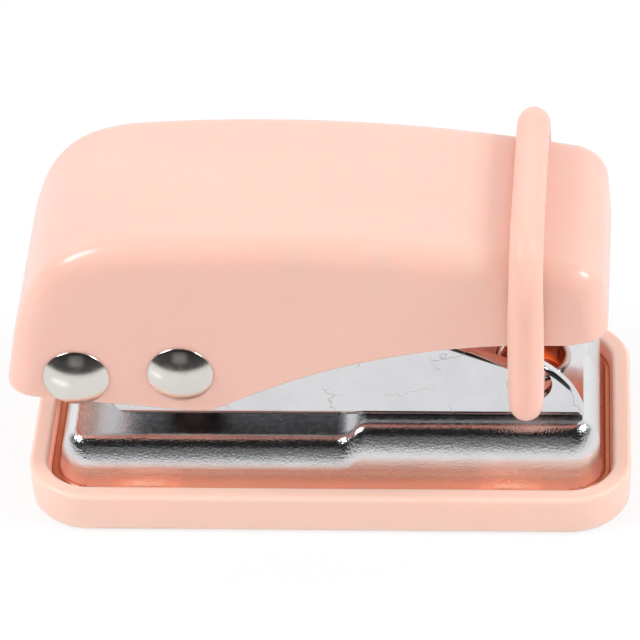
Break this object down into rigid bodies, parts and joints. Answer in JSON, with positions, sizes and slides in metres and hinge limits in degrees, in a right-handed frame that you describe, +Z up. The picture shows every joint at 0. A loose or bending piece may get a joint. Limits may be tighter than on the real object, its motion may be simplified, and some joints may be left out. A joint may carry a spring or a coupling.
{
  "type": "mini hole punch",
  "caption": "Small hand hole punch with a curved plastic handle, a plated steel frame on a plastic chip tray and a swinging loop that locks the handle shut.",
  "frame": {"origin": "middle of the tray's underside, on the surface that the punch stands on", "axes": "+X along the punch towards the free end of the handle, +Y across it away from the rivets' domed heads, +Z up"},
  "size_m": [0.0613, 0.0288, 0.0351],
  "materials": {
    "tray_plastic": "smooth moulded pink",
    "handle_plastic": "smooth moulded pink",
    "plated_steel": "bright plated sheet",
    "nickel": "bright nickel",
    "spring_steel": "bright drawn wire",
    "hardened_steel": "ground"
  },
  "bodies": {
    "frame": {"base_tray": "tray_plastic", "base_plate": "plated_steel", "frame_channel": "plated_steel", "eyelet_front": "nickel", "eyelet_rear": "nickel", "pivot_spacer": "nickel", "return_spring": "spring_steel"},
    "handle": {"handle_shell": "handle_plastic", "pivot_rivet": "nickel", "drive_rivet": "nickel", "tail_washers": "nickel"},
    "punch": {"punch_pin": "hardened_steel", "spring_washer": "spring_steel"},
    "lock": {"lock_bail": "handle_plastic"}
  },
  "joints": [
    {"name": "handle_hinge", "type": "hinge", "parent": "frame", "child": "handle", "pos_m": [-0.0241, 0, 0.0174], "axis": [0, -1, 0], "range_deg": [0, 9.25]},
    {"name": "punch_slide", "type": "slide", "parent": "frame", "child": "punch", "axis": [0, 0, 1], "range_m": [0, 0.00164], "deforming": ["return_spring"]},
    {"name": "lock_loop_hinge", "type": "hinge", "parent": "frame", "child": "lock", "pos_m": [0.01995, 0, 0.0145], "axis": [0, 1, 0], "range_deg": [0, 125]}
  ],
  "couplings": [
    {"joint": "punch_slide", "follows": "handle_hinge", "m_per_rad": 0.010115},
    {"joint": "lock_loop_hinge", "follows": "handle_hinge", "ratio": 13.5}
  ]
}
